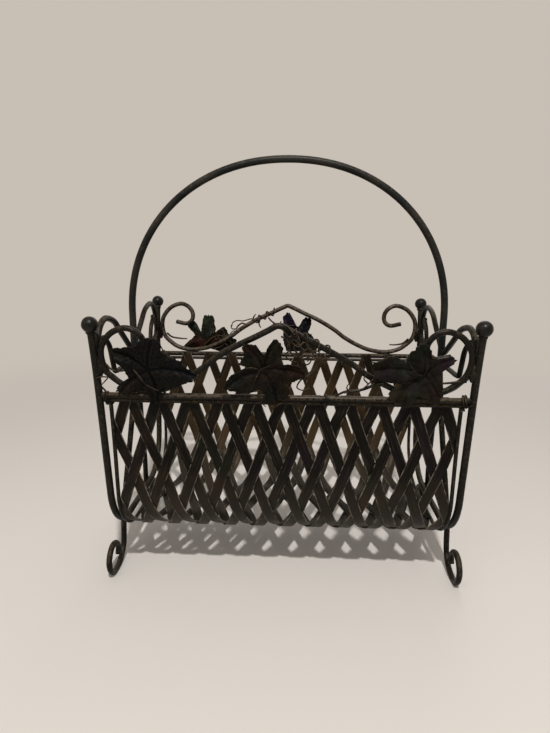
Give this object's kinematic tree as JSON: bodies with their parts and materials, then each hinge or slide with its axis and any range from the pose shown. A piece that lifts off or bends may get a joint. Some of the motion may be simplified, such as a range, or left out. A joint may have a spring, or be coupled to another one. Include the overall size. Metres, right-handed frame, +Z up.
{
  "type": "magazine basket",
  "caption": "Wrought-metal magazine basket: woven strip trough in a rod frame with scrolled feet, scrolled crests, leaf ornament and a tall fixed arch handle.",
  "frame": {"origin": "on the floor, under the middle of the basket", "axes": "+X along the basket's length to the right, -Y to the front, +Z up"},
  "size_m": [0.4216, 0.281, 0.5028],
  "materials": {
    "iron_rod": "dark bronze-brown paint over wrought rod, lighter on worn ridges",
    "ball": "dark grey-brown paint, smooth",
    "woven_strip": "dark brown paint over flat strip, streaked",
    "leaf_dark": "blue-green patina over cut sheet, brown towards the stem",
    "leaf_green": "olive-green patina with rust-red ribs",
    "leaf_violet": "violet-blue and green patina",
    "leaf_brown": "brown and olive patina over cut sheet",
    "vine_wire": "brown-bronze paint over thin wire"
  },
  "bodies": {
    "root": {"back_hem_rod": "iron_rod", "back_rail": "iron_rod", "ball_finial_back_left": "ball", "ball_finial_back_right": "ball", "ball_finial_front_left": "ball", "ball_finial_front_right": "ball", "crest_scroll_back": "iron_rod", "crest_scroll_front": "iron_rod", "crossbar_left": "iron_rod", "crossbar_right": "iron_rod", "edge_rod_left": "iron_rod", "edge_rod_right": "iron_rod", "end_hoop_left": "iron_rod", "end_hoop_right": "iron_rod", "front_hem_rod": "iron_rod", "front_rail": "iron_rod", "handle": "iron_rod", "hump_scroll_back_left": "iron_rod", "hump_scroll_back_right": "iron_rod", "hump_scroll_front_left": "iron_rod", "hump_scroll_front_right": "iron_rod", "leaf_back_left": "leaf_green", "leaf_back_middle": "leaf_violet", "leaf_front_left": "leaf_dark", "leaf_front_middle": "leaf_brown", "leaf_front_right": "leaf_brown", "leg_back_left": "iron_rod", "leg_back_right": "iron_rod", "leg_front_left": "iron_rod", "leg_front_right": "iron_rod", "stem_back_left": "vine_wire", "stem_back_right": "vine_wire", "stem_front_left": "vine_wire", "strip_leaning_left_1": "woven_strip", "strip_leaning_left_10": "woven_strip", "strip_leaning_left_11": "woven_strip", "strip_leaning_left_2": "woven_strip", "strip_leaning_left_3": "woven_strip", "strip_leaning_left_4": "woven_strip", "strip_leaning_left_5": "woven_strip", "strip_leaning_left_6": "woven_strip", "strip_leaning_left_7": "woven_strip", "strip_leaning_left_8": "woven_strip", "strip_leaning_left_9": "woven_strip", "strip_leaning_right_1": "woven_strip", "strip_leaning_right_10": "woven_strip", "strip_leaning_right_11": "woven_strip", "strip_leaning_right_2": "woven_strip", "strip_leaning_right_3": "woven_strip", "strip_leaning_right_4": "woven_strip", "strip_leaning_right_5": "woven_strip", "strip_leaning_right_6": "woven_strip", "strip_leaning_right_7": "woven_strip", "strip_leaning_right_8": "woven_strip", "strip_leaning_right_9": "woven_strip", "twig_front": "vine_wire", "vine_back": "vine_wire", "vine_front": "vine_wire"}
  },
  "joints": []
}
